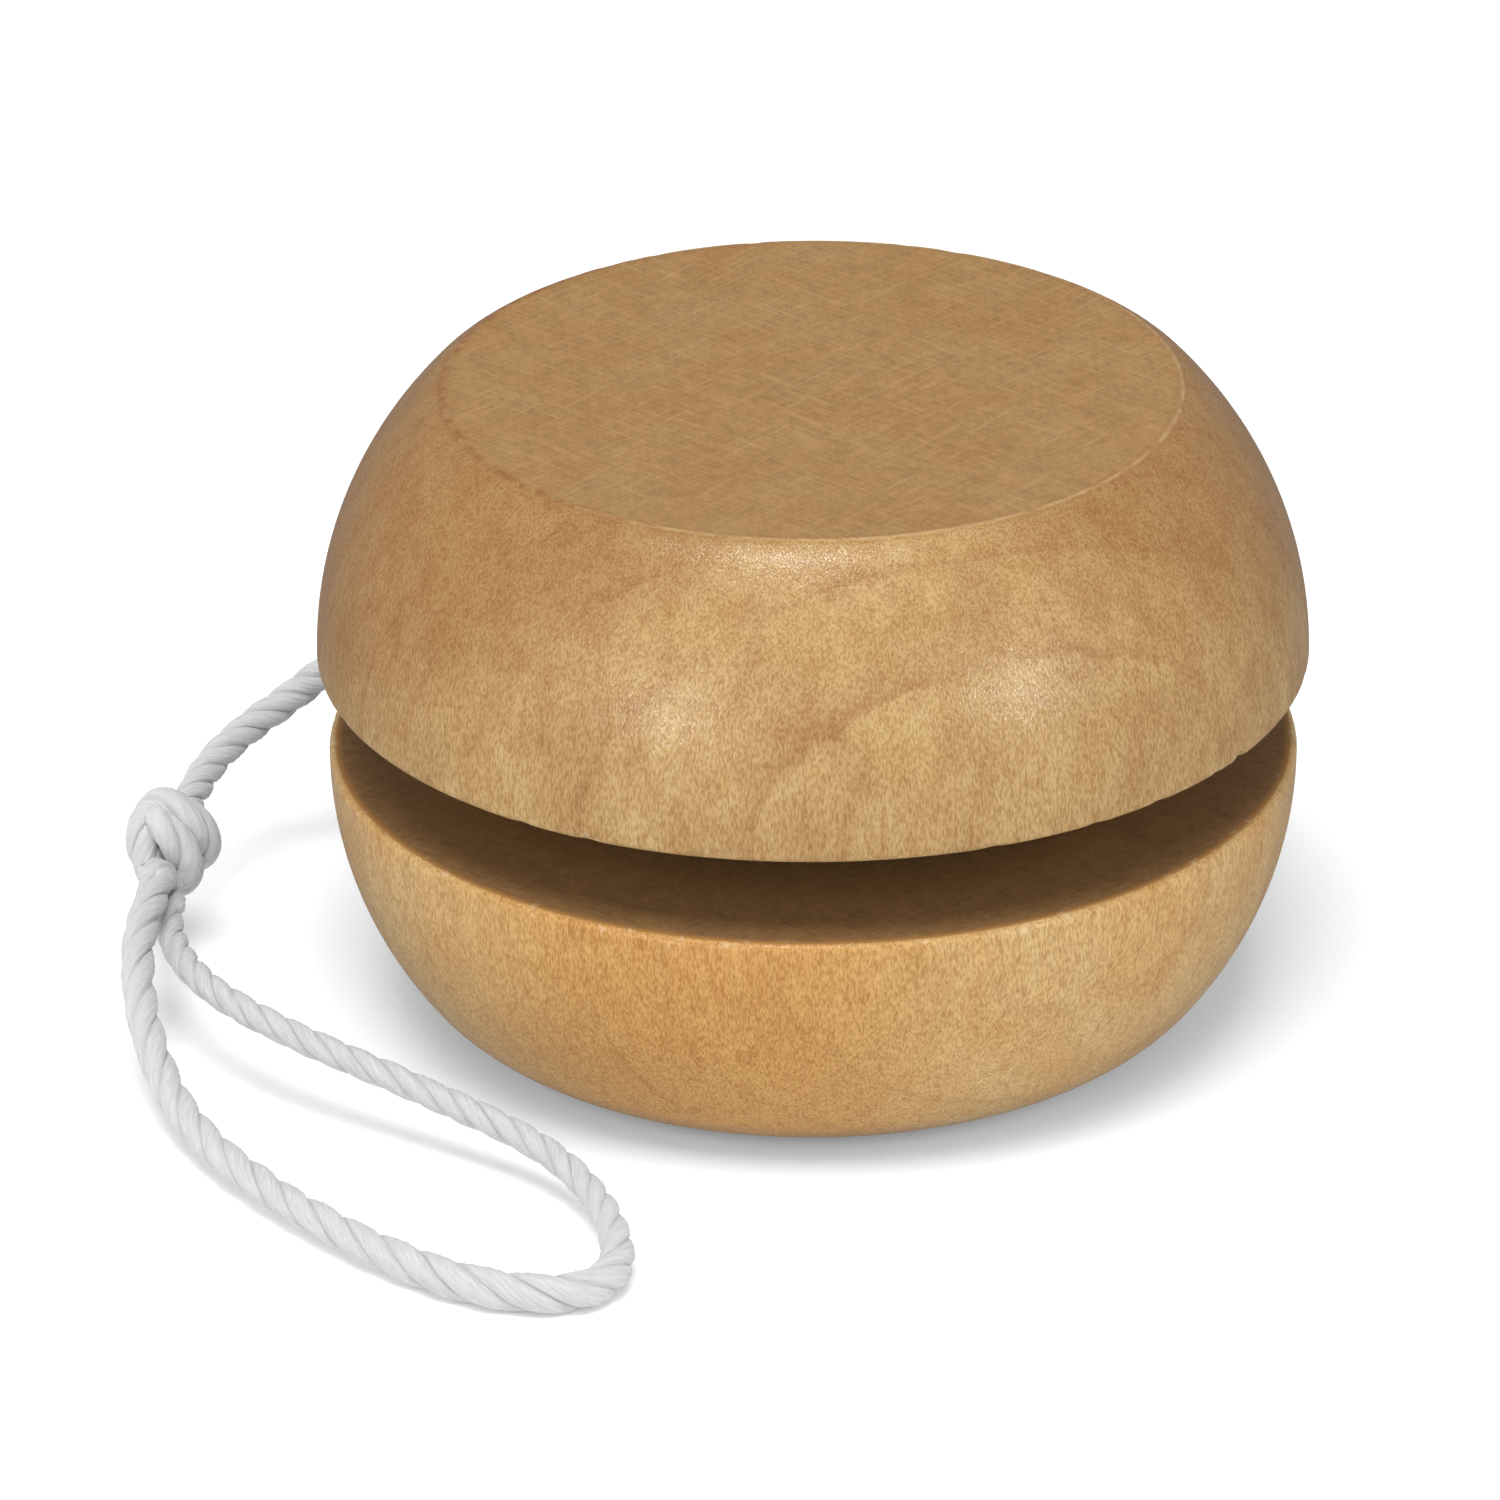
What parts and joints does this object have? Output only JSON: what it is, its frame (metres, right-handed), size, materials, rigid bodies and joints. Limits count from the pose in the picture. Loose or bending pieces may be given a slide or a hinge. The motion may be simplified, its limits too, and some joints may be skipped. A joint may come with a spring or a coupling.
{
  "type": "yo yo",
  "caption": "Two turned wooden halves on a dowel axle with a cord looped around it, wound in the gap and ending in a knotted finger loop.",
  "frame": {"origin": "centre of the lower half's flat face, on which the yo yo lies", "axes": "+Z along the axle from the lower half to the upper half, so the flat faces look along -Z and +Z; the cord leaves the gap towards -X and its finger loop lies on the -X -Y side"},
  "size_m": [0.0665, 0.0681, 0.037],
  "materials": {
    "turned_wood": "satin",
    "dowel_wood": "matte",
    "cord": "matte"
  },
  "bodies": {
    "wooden_body": {"upper_half": "turned_wood", "lower_half": "turned_wood", "axle": "dowel_wood"},
    "wound_string": {"axle_loop": "cord", "string_coil": "cord", "tail_root": "cord"},
    "tail_1": {"tail_1": "cord"},
    "tail_2": {"tail_2": "cord"},
    "tail_3": {"tail_3": "cord"},
    "tail_4": {"tail_4": "cord"},
    "knot": {"knot": "cord"},
    "loop_1": {"loop_1": "cord"},
    "loop_2": {"loop_2": "cord"},
    "loop_3": {"loop_3": "cord"},
    "loop_4": {"loop_4": "cord"},
    "loop_5": {"loop_5": "cord"},
    "loop_6": {"loop_6": "cord"},
    "loop_7": {"loop_7": "cord"},
    "loop_8": {"loop_8": "cord"},
    "loop_9": {"loop_9": "cord"},
    "loop_10": {"loop_10": "cord"},
    "loop_11": {"loop_11": "cord"}
  },
  "joints": [
    {"name": "axle_spin", "type": "hinge", "parent": "wooden_body", "child": "wound_string", "pos_m": [0, 0, 0.0185], "axis": [0, 0, 1], "continuous": true},
    {"name": "tail_lift", "type": "hinge", "parent": "wound_string", "child": "tail_1", "pos_m": [-0.0198, 0.0179, 0.0178], "axis": [-0.7071, 0.7071, 0], "range_deg": [0, 45]},
    {"name": "tail_swing", "type": "hinge", "parent": "tail_1", "child": "tail_2", "pos_m": [-0.0248, 0.0186, 0.014], "axis": [0, 0, -1], "range_deg": [-1, 35]},
    {"name": "tail_curl", "type": "hinge", "parent": "tail_2", "child": "tail_3", "pos_m": [-0.0291, 0.0185, 0.0102], "axis": [-0.5, 0.866, 0], "range_deg": [0, 25]},
    {"name": "knot_swing", "type": "hinge", "parent": "tail_3", "child": "tail_4", "pos_m": [-0.0336, 0.0151, 0.0078], "axis": [0, 0, -1], "range_deg": [-1, 35]},
    {"name": "knot_lift", "type": "hinge", "parent": "tail_4", "child": "knot", "pos_m": [-0.0355, 0.0104, 0.0066], "axis": [-0.5, 0.866, 0], "range_deg": [0, 50]},
    {"name": "loop_open", "type": "hinge", "parent": "knot", "child": "loop_1", "pos_m": [-0.0369, -0.0009, 0.0067], "axis": [0, 0, -1], "range_deg": [-5, 25]},
    {"name": "loop_bend_2", "type": "hinge", "parent": "loop_1", "child": "loop_2", "pos_m": [-0.0379, -0.0083, 0.0056], "axis": [0, 0, -1], "range_deg": [-3, 12]},
    {"name": "loop_bend_3", "type": "hinge", "parent": "loop_2", "child": "loop_3", "pos_m": [-0.0353, -0.0191, 0.0017], "axis": [0, 0, -1], "range_deg": [-20, 5]},
    {"name": "loop_bend_4", "type": "hinge", "parent": "loop_3", "child": "loop_4", "pos_m": [-0.0272, -0.0309, 0.0014], "axis": [0, 0, -1], "range_deg": [-10, 3]},
    {"name": "loop_bend_5", "type": "hinge", "parent": "loop_4", "child": "loop_5", "pos_m": [-0.018, -0.0388, 0.0012], "axis": [0, 0, -1], "range_deg": [-4, 17]},
    {"name": "loop_bend_6", "type": "hinge", "parent": "loop_5", "child": "loop_6", "pos_m": [-0.0115, -0.0388, 0.0011], "axis": [0, 0, -1], "range_deg": [-3, 11]},
    {"name": "loop_bend_7", "type": "hinge", "parent": "loop_6", "child": "loop_7", "pos_m": [-0.0101, -0.0338, 0.0013], "axis": [0, 0, -1], "range_deg": [-2, 5]},
    {"name": "loop_bend_8", "type": "hinge", "parent": "loop_7", "child": "loop_8", "pos_m": [-0.0132, -0.0255, 0.0024], "axis": [0, 0, -1], "range_deg": [-13, 3]},
    {"name": "loop_bend_9", "type": "hinge", "parent": "loop_8", "child": "loop_9", "pos_m": [-0.0213, -0.0199, 0.0038], "axis": [0, 0, -1], "range_deg": [-14, 4]},
    {"name": "loop_bend_10", "type": "hinge", "parent": "loop_9", "child": "loop_10", "pos_m": [-0.0296, -0.0146, 0.0049], "axis": [0, 0, -1], "range_deg": [-4, 2]},
    {"name": "loop_bend_11", "type": "hinge", "parent": "loop_10", "child": "loop_11", "pos_m": [-0.0347, -0.0082, 0.0051], "axis": [0, 0, -1], "range_deg": [-2, 7]}
  ],
  "couplings": [
    {"joint": "loop_bend_2", "follows": "loop_open", "ratio": 0.447},
    {"joint": "loop_bend_3", "follows": "loop_open", "ratio": -0.778},
    {"joint": "loop_bend_4", "follows": "loop_open", "ratio": -0.37},
    {"joint": "loop_bend_5", "follows": "loop_open", "ratio": 0.631},
    {"joint": "loop_bend_6", "follows": "loop_open", "ratio": 0.381},
    {"joint": "loop_bend_7", "follows": "loop_open", "ratio": 0.15},
    {"joint": "loop_bend_8", "follows": "loop_open", "ratio": -0.494},
    {"joint": "loop_bend_9", "follows": "loop_open", "ratio": -0.505},
    {"joint": "loop_bend_10", "follows": "loop_open", "ratio": -0.135},
    {"joint": "loop_bend_11", "follows": "loop_open", "ratio": 0.232}
  ]
}
